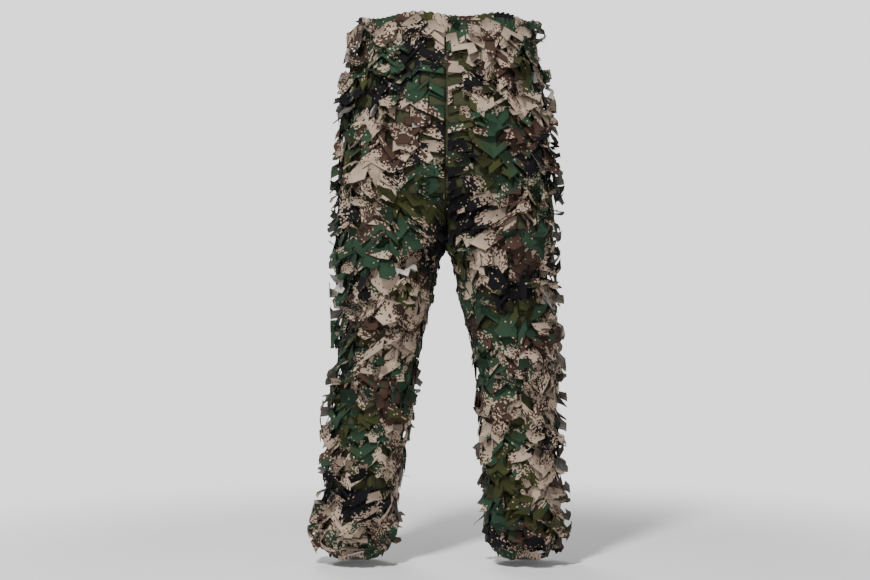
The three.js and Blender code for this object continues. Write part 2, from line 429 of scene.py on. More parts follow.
def srgb(red: int, green: int, blue: int) -> tuple[float, float, float, float]:
    """Linear colour of an 8-bit screen colour."""
    linear = [(c / 255 / 12.92) if c < 11 else ((c / 255 + 0.055) / 1.055) ** 2.4 for c in (red, green, blue)]
    return (linear[0], linear[1], linear[2], 1.0)


@dataclass(frozen=True)
class Blot:
    """One colour of the print: patches with broken, squared edges; leaning is its place in Ink."""

    colour: tuple
    scale: float
    shift: float
    level: float
    dither: float
    leaning: int


@dataclass(frozen=True)
class DigitalPrint:
    """Digital camouflage print, made up of small squares, on a thin plain weave."""

    name: str
    square: float = 0.0025
    scatter: float = 0.009
    fade: float = 0.0
    ground: tuple = srgb(160, 141, 124)
    blots: tuple = (
        Blot(srgb(62, 45, 37), 11.0, 11.7, 0.555, 0.13, 0),
        Blot(srgb(38, 59, 43), 9.0, 3.1, 0.532, 0.08, 1),
        Blot(srgb(52, 54, 28), 12.0, 23.9, 0.620, 0.05, 1),
        Blot(srgb(14, 13, 17), 9.5, 37.3, 0.583, 0.08, 2),
    )
    dot: float = 0.011
    swayed: float = 0.11
    reverse: tuple = srgb(186, 183, 177)
    roughness: float = 0.82
    sheen: float = 0.02
    specular: float = 0.12
    thread: float = 0.0011

    def _mask(self, tree: NodeTree, place: object, blot: Blot, chance: object) -> bpy.types.NodeSocket:
        """Work out where one blot covers the cloth.

        Args:
            tree: The material's nodes.
            place: Socket of each square's scattered place.
            blot: The blot.
            chance: Socket of a random number for each square.

        Returns:
            A socket that is 1 in the blot and 0 outside it.
        """
        moved = tree.vector("ADD", place, (blot.shift, blot.shift * 0.7, 0.0))
        spots = tree.node("TexNoise", {"Vector": moved, "Scale": blot.scale, "Detail": 1.2, "Roughness": 0.5})
        broken = tree.math("MULTIPLY", tree.math("SUBTRACT", chance, 0.5), blot.dither)
        leaning = tree.node("SeparateXYZ", {0: tree.node("Attribute", attribute_name=LEAN).outputs[1]})
        swayed = tree.math("MULTIPLY", leaning.outputs[blot.leaning], self.swayed)
        amount = tree.math("ADD", tree.math("ADD", spots.outputs[0], broken), swayed)
        return tree.math("GREATER_THAN", amount, blot.level)

    def _colour(self, tree: NodeTree, cloth: object) -> bpy.types.NodeSocket:
        """Print the blots over the ground, with a few stray dots.

        Args:
            tree: The material's nodes.
            cloth: Socket of the place on the cloth.

        Returns:
            The socket of the colour at each square.
        """
        cell = tree.vector("SNAP", cloth, (self.square, self.square, self.square))
        jitter = tree.node("TexWhiteNoise", {"Vector": cell}, noise_dimensions="2D")
        centred = tree.vector("SUBTRACT", jitter.outputs[1], (0.5, 0.5, 0.5))
        place = tree.vector("ADD", cell, tree.vector("MULTIPLY", centred, (self.scatter, self.scatter, 0.0)))
        colour = self.ground
        for number, blot in enumerate(self.blots):
            apart = tree.vector("ADD", cell, (5.5 + number, 2.5, 0.0))
            chance = tree.node("TexWhiteNoise", {"Vector": apart}, noise_dimensions="2D").outputs[0]
            colour = tree.mix(self._mask(tree, place, blot, chance), colour, blot.colour)
        colour = tree.mix(tree.math("GREATER_THAN", jitter.outputs[0], 1 - self.dot), colour, self.blots[0].colour)
        return tree.mix(tree.math("LESS_THAN", jitter.outputs[0], self.dot), colour, self.ground)

    def material(self) -> bpy.types.Material:
        """Build the material.

        Returns:
            The material.
        """
        tree = NodeTree.of_material(self.name)
        cloth = tree.node("UVMap", uv_map=CLOTH_MAP).outputs[0]
        colour = tree.mix(self.fade, self._colour(tree, cloth), self.reverse)
        worn = tree.node("TexNoise", {"Vector": cloth, "Scale": 45.0, "Detail": 3.0})
        shade = tree.node("MapRange", {0: worn.outputs[0], 1: 0.3, 2: 0.7, 3: 0.84, 4: 1.12}).outputs[0]
        # The tone attribute darkens the print: each piece's random tone, times painted shade at roots, cut edges
        # and pleat valleys.
        tone = tree.node("Attribute", attribute_name=TONE).outputs[2]
        colour = tree.mix(1.0, colour, tree.math("MULTIPLY", shade, tone), "MULTIPLY")
        threads = tree.vector("MULTIPLY", cloth, (2 * math.pi / self.thread, 2 * math.pi / self.thread, 0.0))
        axes = tree.node("SeparateXYZ", {0: threads})
        weave = tree.math("ADD", tree.math("SINE", axes.outputs[0]), tree.math("SINE", axes.outputs[1]))
        bump = tree.node("Bump", {"Strength": 0.25, "Distance": 0.0003, "Height": weave})
        creases = tree.node("TexNoise", {"Vector": cloth, "Scale": 85.0, "Detail": 3.0})
        bump = tree.node(
            "Bump", {"Strength": 0.8, "Distance": 0.0020, "Height": creases.outputs[0], "Normal": bump.outputs[0]}
        )
        matt = tree.node("MapRange", {0: worn.outputs[0], 3: self.roughness - 0.08, 4: self.roughness + 0.08})
        inputs = {"Base Color": colour, "Roughness": matt.outputs[0], "Normal": bump.outputs[0]}
        inputs |= {"Sheen Weight": self.sheen, "Specular IOR Level": self.specular}
        return tree.finish(tree.node("BsdfPrincipled", inputs))


@dataclass(frozen=True)
class PlainWeave:
    """Plain dyed cloth with fine upright ribs."""

    name: str
    colour: tuple
    rib: float = 0.0016
    roughness: float = 0.85
    specular: float = 0.25

    def material(self) -> bpy.types.Material:
        """Build the material.

        Returns:
            The material.
        """
        tree = NodeTree.of_material(self.name)
        cloth = tree.node("UVMap", uv_map=CLOTH_MAP).outputs[0]
        axes = tree.node("SeparateXYZ", {0: cloth})
        rib = tree.math("SINE", tree.math("MULTIPLY", axes.outputs[0], 2 * math.pi / self.rib))
        worn = tree.node("TexNoise", {"Vector": cloth, "Scale": 28.0, "Detail": 4.0})
        shade = tree.node("MapRange", {0: worn.outputs[0], 1: 0.3, 2: 0.7, 3: 0.75, 4: 1.25}).outputs[0]
        ribbed = tree.node("MapRange", {0: rib, 1: -1.0, 2: 1.0, 3: 0.85, 4: 1.1}).outputs[0]
        colour = tree.mix(1.0, self.colour, tree.math("MULTIPLY", shade, ribbed), "MULTIPLY")
        bump = tree.node("Bump", {"Strength": 0.4, "Distance": 0.0004, "Height": rib})
        matt = tree.node("MapRange", {0: worn.outputs[0], 3: self.roughness - 0.1, 4: self.roughness + 0.08})
        inputs = {"Base Color": colour, "Roughness": matt.outputs[0], "Normal": bump.outputs[0]}
        return tree.finish(tree.node("BsdfPrincipled", inputs | {"Specular IOR Level": self.specular}))


@dataclass(frozen=True)
class BraidedElastic:
    """Black braided elastic, patterned in the piece's own coordinates."""

    name: str = "braided_elastic"
    colour: tuple = srgb(26, 26, 27)
    ridge: tuple = srgb(52, 52, 54)
    roughness: float = 0.7

    def material(self) -> bpy.types.Material:
        """Build the material.

        Returns:
            The material.
        """
        tree = NodeTree.of_material(self.name)
        place = tree.node("TexCoord").outputs["Object"]
        ribs = tree.node("TexWave", {"Vector": place, "Scale": 300.0, "Distortion": 1.0}, bands_direction="Z")
        colour = tree.mix(ribs.outputs[1], self.colour, self.ridge)
        bump = tree.node("Bump", {"Strength": 0.5, "Distance": 0.0004, "Height": ribs.outputs[1]})
        inputs = {"Base Color": colour, "Roughness": self.roughness, "Normal": bump.outputs[0]}
        return tree.finish(tree.node("BsdfPrincipled", inputs))


@dataclass(frozen=True)
class Cloth:
    """One kind of cloth: its slot, its face and perhaps its reverse, and its thickness."""

    slot: str
    materials: tuple
    thickness: float
    smooth: bool = True


@dataclass
class Finishes:
    """Every cloth of the garment and its elastic, made once."""

    base: Cloth = field(init=False)
    casing: Cloth = field(init=False)
    leaf: Cloth = field(init=False)
    elastic: bpy.types.Material = field(init=False)

    def __post_init__(self) -> None:
        """Build the materials."""
        front = DigitalPrint("pixel_print").material()
        reverse = DigitalPrint("pixel_print_reverse", fade=0.72).material()
        olive = PlainWeave("olive_base_cloth", srgb(52, 54, 34)).material()
        self.base = Cloth("base_cloth", (olive,), 0.0008)
        self.casing = Cloth("printed_cloth", (front,), 0.0005)
        self.leaf = Cloth("leaf_cloth", (front, reverse), 0.0005, smooth=False)
        self.elastic = BraidedElastic().material()


# ---- Helpers for pieces -----------------------------------------------------------------------------------


def cloth_bmesh() -> bmesh.types.BMesh:
    """Start a piece of cloth.

    Returns:
        An empty bmesh with the cloth's map, tone and lean.
    """
    bm = bmesh.new()
    bm.loops.layers.uv.new(CLOTH_MAP)
    bm.verts.layers.float.new(TONE)
    bm.verts.layers.float_color.new(LEAN)
    return bm


def cloth_grid(columns: int, rows: int) -> tuple[bmesh.types.BMesh, np.ndarray, np.ndarray]:
    """Lay out a square of cloth.

    Args:
        columns: Number of faces across.
        rows: Number of faces up.

    Returns:
        The bmesh, and each vertex's share of the way across and up.
    """
    bm = cloth_bmesh()
    bmesh.ops.create_grid(bm, x_segments=columns, y_segments=rows, size=1.0)
    flat = np.array([v.co[:] for v in bm.verts])
    return bm, (flat[:, 0] + 1) / 2, (flat[:, 1] + 1) / 2


def lay(bm: bmesh.types.BMesh, places: np.ndarray, u: np.ndarray, v: np.ndarray) -> None:
    """Move every vertex to its place and note where on the cloth it lies.

    Args:
        bm: The bmesh.
        places: One row of X, Y and Z for each vertex.
        u: Each vertex's place across the cloth.
        v: Its place up the cloth.
    """
    uv = bm.loops.layers.uv[CLOTH_MAP]
    for vert, place, *on_cloth in zip(bm.verts, places, u, v):
        vert.co = place
        for loop in vert.link_loops:
            loop[uv].uv = on_cloth
    bm.normal_update()


def face_out(bm: bmesh.types.BMesh, centre: Vector, outer: int | None = None) -> None:
    """Turn every face over if the outer ones look towards the piece's upright centre line.

    Args:
        bm: The bmesh, with its normals up to date.
        centre: A point on the centre line.
        outer: Number of faces, from the first, that lie in the outer layer; all of them if left out.
    """
    looks = 0.0
    for part in bm.faces[:outer]:
        away = part.calc_center_median() - centre
        looks += part.normal.dot(Vector((away.x, away.y, 0.0))) * part.calc_area()
    if looks < 0:
        bmesh.ops.reverse_faces(bm, faces=bm.faces[:])


def make_piece(name: str, bm: bmesh.types.BMesh, materials: tuple, smooth: bool = True) -> bpy.types.Object:
    """Turn a bmesh into an object in the scene and free the bmesh.

    Args:
        name: The object's name.
        bm: Its faces.
        materials: Its materials, in the order of their slots.
        smooth: Whether its faces are shaded smooth.

    Returns:
        The object.
    """
    leaning = bm.verts.layers.float_color.get(LEAN)
    if leaning:
        for vert in bm.verts:
            vert[leaning] = lean(vert.co)
    mesh = bpy.data.meshes.new(name)
    bm.to_mesh(mesh)
    bm.free()
    if smooth:
        mesh.shade_smooth()
    for material in materials:
        mesh.materials.append(material)
    piece = bpy.data.objects.new(name, mesh)
    bpy.context.scene.collection.objects.link(piece)
    log.info("%s: %d faces", name, len(mesh.polygons))
    return piece


def sew(name: str, bm: bmesh.types.BMesh, cloth: Cloth) -> tuple[bpy.types.Object, float]:
    """Make a piece of cloth, thick behind its outer face.

    Args:
        name: The piece's name.
        bm: Its outer face.
        cloth: What it is cut from.

    Returns:
        The piece and the area of its outer face.
    """
    piece = make_piece(name, bm, cloth.materials, cloth.smooth)
    solid = piece.modifiers.new("thickness", "SOLIDIFY")
    solid.thickness = cloth.thickness
    solid.offset = -1.0
    solid.material_offset = len(cloth.materials) - 1
    solid.use_even_offset = False
    return piece, sum(polygon.area for polygon in piece.data.polygons)


# ---- Joints -----------------------------------------------------------------------------------------------


@dataclass
class Bending:
    """Where the cloth turns from one body to the next.

    Panels stretch over a joint. A strip or a leaf mostly turns with the line that it is sewn along, so it keeps
    its shape while the sewn lines move apart.
    """

    shape: GarmentShape
    slant: float = 0.75
    hip_run: float = 0.12
    knee_run: float = 0.12
    give: float = 0.4

    @property
    def hip_end(self) -> float:
        """Height below which all of a leg's cloth follows the thigh."""
        return self.shape.crotch - self.hip_run

    def _blend(self, piece: bpy.types.Object, upper: str, lower: str, start: Vector, end: Vector) -> None:
        """Blend a piece over a joint, with the turn of each point measured where it is sewn on.

        Args:
            piece: The piece.
            upper: The body above the joint.
            lower: The body below it.
            start: Where the cloth begins to turn.
            end: Where it has turned fully.
        """
        sewn = piece.data.attributes.get(SEWN)
        if sewn is None:
            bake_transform(piece, upper, lower, start=start, end=end)
            return
        places = np.zeros(len(piece.data.vertices) * 3, np.float32)
        roots = np.zeros(len(piece.data.vertices) * 3, np.float32)
        piece.data.vertices.foreach_get("co", places)
        sewn.data.foreach_get("vector", roots)
        piece.data.vertices.foreach_set("co", roots + (places - roots) * self.give)
        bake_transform(piece, upper, lower, start=start, end=end)
        piece.data.vertices.foreach_set("co", places)
        piece.data.update()

    def hip(self, piece: bpy.types.Object, side: Side) -> None:
        """Bend a piece over the hip; the centre seam stays with the hips.

        Args:
            piece: The piece.
            side: The leg.
        """
        down = Vector((self.slant * side.value, 0.0, -1.0)).normalized()
        start = Vector((0.0, 0.0, self.shape.crotch))
        inner = self.shape.points(side, np.array([1.0]), np.array([self.hip_end]), np.zeros(1))[0]
        run = (Vector(inner) - start).dot(down)
        self._blend(piece, "hips", f"{side.word}_thigh", start, start + down * run)

    def knee(self, piece: bpy.types.Object, side: Side) -> None:
        """Bend a piece over the knee."""
        start = Vector((0.0, 0.0, self.hip_end))
        end = Vector((0.0, 0.0, self.shape.knee - self.knee_run))
        self._blend(piece, f"{side.word}_thigh", f"{side.word}_shin", start, end)

    def place(self, piece: bpy.types.Object, side: Side, part: Part, row: int) -> None:
        """Join a row's piece to the body or the joint that it belongs to.

        Args:
            piece: The row's piece.
            side: The leg.
            part: Stretch of the leg.
            row: Number of the row in it.
        """
        over_hip = (part is Part.SEAT and row > 3) or (part is Part.THIGH and row < 3)
        over_knee = (part is Part.THIGH and row == 3) or (part is Part.SHIN and row < 3)
        if over_hip:
            self.hip(piece, side)
        elif over_knee:
            self.knee(piece, side)
        else:
            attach(piece, "hips" if part is Part.SEAT else f"{side.word}_{part.word}")
        sewn = piece.data.attributes.get(SEWN)
        if sewn:
            piece.data.attributes.remove(sewn)


# ---- Panels -----------------------------------------------------------------------------------------------


@dataclass
class Panels:
    """The plain olive cloth under the leaves: a front and a back panel on each leg."""

    shape: GarmentShape
    finishes: Finishes
    bending: Bending
    cell: float = 0.011
    under_leaves: float = -0.0005
    seam_allowance: float = 1.05
    tape: float = 0.011
    tape_columns: int = 4
    tape_allowance: float = 1.02
    over_band: float = 0.004
    over_crotch: float = 0.006
    behind: float = 0.0025

    def panel(self, name: str, side: Side, back: bool, top: float, bottom: float) -> bpy.types.Object:
        """Sew one panel.

        Args:
            name: The piece's name.
            side: The leg.
            back: Whether this is the back panel.
            top: Height of its upper edge.
            bottom: Height of its lower edge.

        Returns:
            The panel.
        """
        width = self.shape.quarter(side, (top + bottom) / 2)
        length = top - bottom
        bm, across, up = cloth_grid(round(width / self.cell), round(length / self.cell))
        turn = across if back else -across
        height = bottom + up * length
        places = self.shape.points(side, turn, height, np.full_like(turn, self.under_leaves))
        lay(bm, places, turn * width, height)
        face_out(bm, Vector((side.value * float(self.shape.leg[side][0, 1]), 0.0, 0.0)))
        piece, area = sew(name, bm, self.finishes.base)
        return piece

    def centre_seam(self, back: bool) -> None:
        """Sew the tape behind the centre seam, from the waistband to the crotch.

        Args:
            back: Whether this is the centre back seam.
        """
        rows = round((self.shape.waist_bottom - self.shape.crotch) / self.cell)
        bm, across, up = cloth_grid(self.tape_columns, rows)
        top, bottom = self.shape.waist_bottom + self.over_band, self.shape.crotch + self.over_crotch
        edge = np.full_like(up, 1.0 if back else -1.0)
        places = self.shape.points(Side.LEFT, edge, bottom + up * (top - bottom), np.full_like(up, -self.behind))
        places[:, 0] = (2 * across - 1) * self.tape
        lay(bm, places, places[:, 0], (up - 0.5) * (top - bottom))
        face_out(bm, Vector())
        tape, area = sew(f"centre_{'back' if back else 'front'}_seam", bm, self.finishes.base)
        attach(tape, "hips")


    def build(self) -> None:
        """Sew all panels: uppers that bend over the hip and lowers that bend over the knee."""
        for side in Side:
            for back in (False, True):
                face = "back" if back else "front"
                upper = self.panel(
                    f"{side.word}_{face}_upper_panel", side, back, self.shape.waist_bottom, self.bending.hip_end
                )
                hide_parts(f"{side.word}_{face}_seat_panel", f"{side.word}_{face}_thigh_panel")
                self.bending.hip(upper, side)
                lower = self.panel(
                    f"{side.word}_{face}_lower_panel", side, back, self.bending.hip_end, self.shape.cuff_top
                )
                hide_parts(f"{side.word}_{face}_shin_panel")
                self.bending.knee(lower, side)
        for back in (False, True):
            self.centre_seam(back)
        log.info("panels sewn")


# ---- Gathered casings -------------------------------------------------------------------------------------


@dataclass(frozen=True)
class Hoop:
    """Where one casing is gathered.

    The ring gives the places for arrays of share round it, height and lift. The fold and the mouth are the
    heights of the folded and of the sewn edge, and the frill stands past the fold.
    """

    name: str
    ring: Callable
    fold: float
    mouth: float
    pleats: int
    frill: float


@dataclass
class Casing:
    """A printed casing gathered over its elastic, with a short frill past the folded edge."""

    shape: GarmentShape
    finishes: Finishes
    columns: int = 300
    rows: int = 16
    ruffle: float = 0.0032
    frill: float = 0.007
    cuff_frill: float = 0.002
    under_tips: float = 0.007
    wave: float = 0.004
    waves: int = 6
    stand_off: float = 0.0008
    cavity: float = 0.0062
    pinch: float = 0.0015
    outer_run: tuple = (0.0, 0.55)
    inner_run: tuple = (0.62, 1.0)
    frill_run: tuple = (0.42, 0.72)
    fullness: float = 1.3
    seam_allowance: float = 1.02
    pleats: int = 76
    cuff_pleats: int = 34

    def _ruffles(self, share: np.ndarray, pleats: int, seed: float) -> np.ndarray:
        """Uneven pleats round the casing, from 0 in a valley to 1 on a ridge.

        Args:
            share: Share of the way round.
            pleats: Number of pleats.
            seed: What makes one casing's pleats differ from another's.

        Returns:
            The pleats' height at each point.
        """
        angle = share * 2 * math.pi
        wander = 0.9 * np.sin(angle * 5 + seed) + 0.7 * np.sin(angle * 9 + 2 * seed)
        sharp = np.abs(np.sin(angle * pleats / 2 + wander))
        return sharp * (0.65 + 0.35 * np.sin(angle * 7 + 3 * seed))

    def gather(self, hoop: Hoop) -> bpy.types.Object:
        """Gather a casing round the waist or a cuff.

        Args:
            hoop: Where it is gathered.

        Returns:
            The casing.
        """
        bm, share, along = cloth_grid(self.columns, self.rows)
        seed = hoop.fold * 7 + hoop.pleats
        pleat = self._ruffles(share, hoop.pleats, seed)
        depth = hoop.mouth - hoop.fold
        outside = ramp(along, *self.outer_run)
        inside = ramp(along, *self.inner_run)
        past = np.sin(ramp(along, *self.frill_run) * math.pi)
        wave = self.wave * np.sin(share * 2 * math.pi * self.waves + seed)
        edge = past * (hoop.frill * (0.7 + 0.5 * pleat) + wave)
        height = hoop.mouth + depth * (inside - outside) - math.copysign(1.0, depth) * edge
        lift = self.shape.casing + self.stand_off - self.cavity * inside - self.pinch * past
        lift = lift + self.ruffle * pleat * (1 - inside) * (0.35 + 0.65 * np.abs(2 * outside - 1))
        places = hoop.ring(share, height, lift)
        around = float(np.ptp(places[:, 0])) * math.pi * self.fullness
        length = abs(depth) * 2 + hoop.frill * 2
        lay(bm, places, share * around + hoop.fold, along * length + hoop.fold * 3)
        # Painted shade and highlight: darker in the pleats' valleys, lighter on their ridges.
        tone = bm.verts.layers.float[TONE]
        for vert, raised in zip(bm.verts, pleat):
            vert[tone] = 0.72 + 0.36 * raised
        bmesh.ops.remove_doubles(bm, verts=bm.verts[:], dist=0.0001)
        bm.normal_update()
        centre = sum((v.co for v in bm.verts), Vector()) / len(bm.verts)
        face_out(bm, centre, len(bm.faces) // 3)
        piece, area = sew(hoop.name, bm, self.finishes.casing)
        return piece

    def build(self) -> None:
        """Gather the waistband and both cuffs."""
        band_low, band_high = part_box("waistband")
        half_width = band_high.x - self.shape.casing
        half_depth = band_high.y - self.shape.casing

        def waist(share: np.ndarray, height: np.ndarray, lift: np.ndarray) -> np.ndarray:
            """Places round the waist."""
            angle = share * 2 * math.pi
            x = (half_width + lift) * np.cos(angle)
            y = (half_depth + lift) * np.sin(angle)
            return np.stack([x, y, height], axis=1)

        hoop = Hoop("waistband_casing", waist, band_high.z, band_low.z, self.pleats, self.frill)
        band = self.gather(hoop)
        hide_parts("waistband")
        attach(band, "hips")
        for side in Side:

            def leg(share: np.ndarray, height: np.ndarray, lift: np.ndarray, side: Side = side) -> np.ndarray:
                """Places round a cuff."""
                return self.shape.points(side, share * 2 - 1, height, lift)

            low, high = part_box(f"{side.word}_cuff")
            fold = low.z + self.under_tips
            hoop = Hoop(f"{side.word}_cuff_casing", leg, fold, high.z, self.cuff_pleats, self.cuff_frill)
            cuff = self.gather(hoop)
            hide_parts(f"{side.word}_cuff")
            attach(cuff, f"{side.word}_shin")
        for node in ("waist_elastic", "right_cuff_elastic", "left_cuff_elastic"):
            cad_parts[node].data.materials.clear()
            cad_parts[node].data.materials.append(self.finishes.elastic)
        log.info("waistband and cuffs gathered")


# ---- Leaves -----------------------------------------------------------------------------------------------


class LeafCut(Enum):
    """Outlines that the leaves are cut to, in millimetres from the middle of the sewn or uncut edge."""

    TAB = ((-9, 0), (9, 0), (11, -20), (19, -32), (10, -44), (-4, -40), (-12, -46), (-16, -28))
    CHEVRON = (
        (-30, -12), (-16, 0), (0, -16), (16, 0), (32, -16),
        (26, -32), (15, -18), (1, -36), (-15, -18), (-24, -28),
    )
    ARROW = ((-8, 0), (8, 0), (9, -12), (25, -25), (15, -38), (0, -25), (-15, -38), (-25, -25), (-9, -12))
    BEND = ((-9, 0), (9, 0), (12, -16), (25, -30), (13, -43), (-3, -27), (-10, -14))
    HOOK = ((-10, 0), (10, 0), (14, -18), (34, -22), (30, -38), (6, -36), (-10, -30))
    SQUARE = ((-12, 0), (12, 0), (16, -30), (2, -42), (-14, -32))
    FLAG = ((-13, 0), (13, 0), (15, -27), (-12, -31))


def seal_edges(bm: bmesh.types.BMesh) -> None:
    """Give flat cut cloth a narrow border, dark at the edge: partly the dark line where the hot cut seals its
    edge, partly painted shadow along the edges.
    """
    bmesh.ops.inset_region(bm, faces=bm.faces[:], thickness=CUT_EDGE, use_even_offset=True, use_boundary=True)
    tone = bm.verts.layers.float[TONE]
    for vert in bm.verts:
        vert[tone] = CUT_EDGE_SEAL_AND_SHADOW_TONE if vert.is_boundary else 1.0


def leaf_template(cut: LeafCut) -> bpy.types.Mesh:
    """Cut one leaf flat, fine enough to bend, with its flat place as its cloth map.

    Args:
        cut: Its outline.

    Returns:
        The flat leaf's mesh.
    """
    bm = cloth_bmesh()
    corners = [bm.verts.new((x / 1000, y / 1000, 0.0)) for x, y in cut.value]
    face = bm.faces.new(corners)
    if face.normal.z < 0:
        bmesh.ops.reverse_faces(bm, faces=[face])
    bmesh.ops.triangulate(bm, faces=bm.faces[:], ngon_method="BEAUTY")
    bmesh.ops.subdivide_edges(bm, edges=bm.edges[:], cuts=1, use_grid_fill=True)
    seal_edges(bm)
    uv = bm.loops.layers.uv[CLOTH_MAP]
    for part in bm.faces:
        for loop in part.loops:
            loop[uv].uv = loop.vert.co.xy
    bm.normal_update()
    if sum(part.normal.z for part in bm.faces) < 0:
        bmesh.ops.reverse_faces(bm, faces=bm.faces[:])
    mesh = bpy.data.meshes.new(f"leaf_{cut.name.lower()}")
    bm.to_mesh(mesh)
    bm.free()
    return mesh


@dataclass
class Leaf:
    """How one leaf hangs, and how it bends from that."""

    turn: float
    height: float
    root_lift: float
    swing: float
    tilt: float
    curl: float
    cup: float
    twist: float
    size: float
    flip: bool
    turned_over: bool
    least_curl: float = 0.5
    twist_run: float = 0.03
    twist_out: float = 0.25

    def bent(self, flat: np.ndarray) -> np.ndarray:
        """Bend and turn a flat leaf.

        Args:
            flat: Places on the flat leaf, in metres from the middle of its root.

        Returns:
            How far across, down and out of its root each place comes to lie.
        """
        across = flat[:, 0] * self.size * (-1 if self.flip else 1)
        down = -flat[:, 1] * self.size
        bend = math.copysign(max(abs(self.curl), self.least_curl), self.curl)
        angle = self.tilt + bend * down
        along = (np.sin(angle) - math.sin(self.tilt)) / bend
        out = (math.cos(self.tilt) - np.cos(angle)) / bend
        out = out + self.cup * across * across
        twist = self.twist * ramp(down, 0, self.twist_run)
        out = out + across * np.sin(twist) + self.twist_out * np.abs(np.sin(twist)) * down
        across = across * np.cos(twist)
        cos, sin = math.cos(self.swing), math.sin(self.swing)
        return np.stack([across * cos - along * sin, across * sin + along * cos, out], axis=1)


@dataclass
class CutStrip:
    """A strip of printed cloth laser-cut into a zigzag with holes, sewn on along its top."""

    shape: GarmentShape
    side: Side
    top: float
    length: float
    quarter: float
    dice: random.Random
    cell: float = 0.0074
    hang: float = 0.052
    zigzag: float = 0.019
    least_columns: int = 3
    most_columns: int = 5
    hole_share: float = 0.6
    root_lift: float = 0.0012
    flare: float = 0.011
    ripple: float = 0.009
    least_ripple: float = 0.001
    ripple_noise: tuple = (26, 20)
    root_tone: float = 0.5
    over_hem: float = 0.020
    ragged: float = 0.020

    def _knots(self, columns: int) -> list[tuple[int, float]]:
        """Choose where the zigzag turns.

        Args:
            columns: Number of cells along the strip.

        Returns:
            The column of each turn, and how high the turn stands, from -1 to 1.
        """
        knots = [(0, self.dice.uniform(-1, 1))]
        up = 1
        while knots[-1][0] < columns:
            run = self.dice.randint(self.least_columns, self.most_columns)
            knots.append((min(knots[-1][0] + run, columns), up * self.dice.uniform(0.45, 1.0)))
            up = -up
        return knots

    def _cut_faces(self, bm: bmesh.types.BMesh, columns: int, rows: int, knots: list) -> list:
        """Choose the faces that fall in the holes and in the stepped lower edge.

        Args:
            bm: The whole strip, two units wide and high.
            columns: Number of cells along it.
            rows: Number of cells down it.
            knots: Where the zigzag turns.

        Returns:
            The faces to cut away.
        """
        short = np.zeros(columns, int)
        holed = np.full(columns, -1)
        for (start, _), (end, _) in zip(knots, knots[1:]):
            short[start:end] = self.dice.choice((0, 0, 1, 2, 3))
            if self.dice.random() < self.hole_share and end - start > 2:
                left = self.dice.randint(start, end - 3)
                holed[left : left + self.dice.randint(2, 3)] = self.dice.randint(1, 2)
        cut = []
        for face in bm.faces:
            centre = face.calc_center_median()
            column = min(int((centre.x + 1) / 2 * columns), columns - 1)
            level = int((1 - centre.y) / 2 * rows)
            in_hole = holed[column] >= 0 and holed[column] <= level < holed[column] + 3
            if in_hole or level >= rows - short[column]:
                cut.append(face)
        return cut

    def mesh(self) -> bpy.types.Mesh:
        """Cut the strip and hang it.

        Returns:
            The strip's mesh, in its place on the garment.
        """
        columns = round(self.length / self.cell)
        rows = round(self.hang / self.cell)
        bm, _, _ = cloth_grid(columns, rows)
        knots = self._knots(columns)
        bmesh.ops.delete(bm, geom=self._cut_faces(bm, columns, rows, knots), context="FACES")
        bmesh.ops.scale(bm, verts=bm.verts[:], vec=(self.length / 2, self.hang / 2, 1.0))
        seal_edges(bm)
        flat = np.array([v.co[:] for v in bm.verts])
        x = flat[:, 0]
        down = self.hang / 2 - flat[:, 1]
        share = down / self.hang
        saw = np.interp((x / self.length + 0.5) * columns, *zip(*knots))
        seed = Vector((self.dice.uniform(0, 50), 0.0, 0.0))
        fine, tall = self.ripple_noise
        wavy = np.array([noise.noise(Vector((a * fine, b * tall, 0.0)) + seed) for a, b in zip(x, down)])
        z = self.top - down + self.zigzag * saw * ramp(share, 0, 1 / 3)
        z = np.maximum(z, self.shape.hem + self.over_hem + self.ragged * wavy)
        lift = self.root_lift + share * (self.flare + self.ripple * wavy) + self.least_ripple * (1 + wavy)
        turn = x / self.quarter
        lift = np.maximum(lift, self.root_lift) * self.shape.kept(turn, z)
        roots = self.shape.points(self.side, turn, np.full_like(turn, self.top), np.zeros_like(turn))
        lay(bm, self.shape.points(self.side, turn, z, lift), self.side.value * MAP_STEP + x, self.top - down)
        tone = bm.verts.layers.float[TONE]
        sewn = bm.verts.layers.float_vector.new(SEWN)
        shade = self.dice.uniform(0.85, 1.05)
        # Painted shade: darker towards the sewn top, where the strip above would shade it.
        tones = shade * (self.root_tone + (1 - self.root_tone) * ramp(share, 0, 0.5))
        for vert, root, toned in zip(bm.verts, roots, tones):
            vert[sewn] = root
            vert[tone] *= toned
        mesh = bpy.data.meshes.new("strip")
        bm.to_mesh(mesh)
        bm.free()
        return mesh


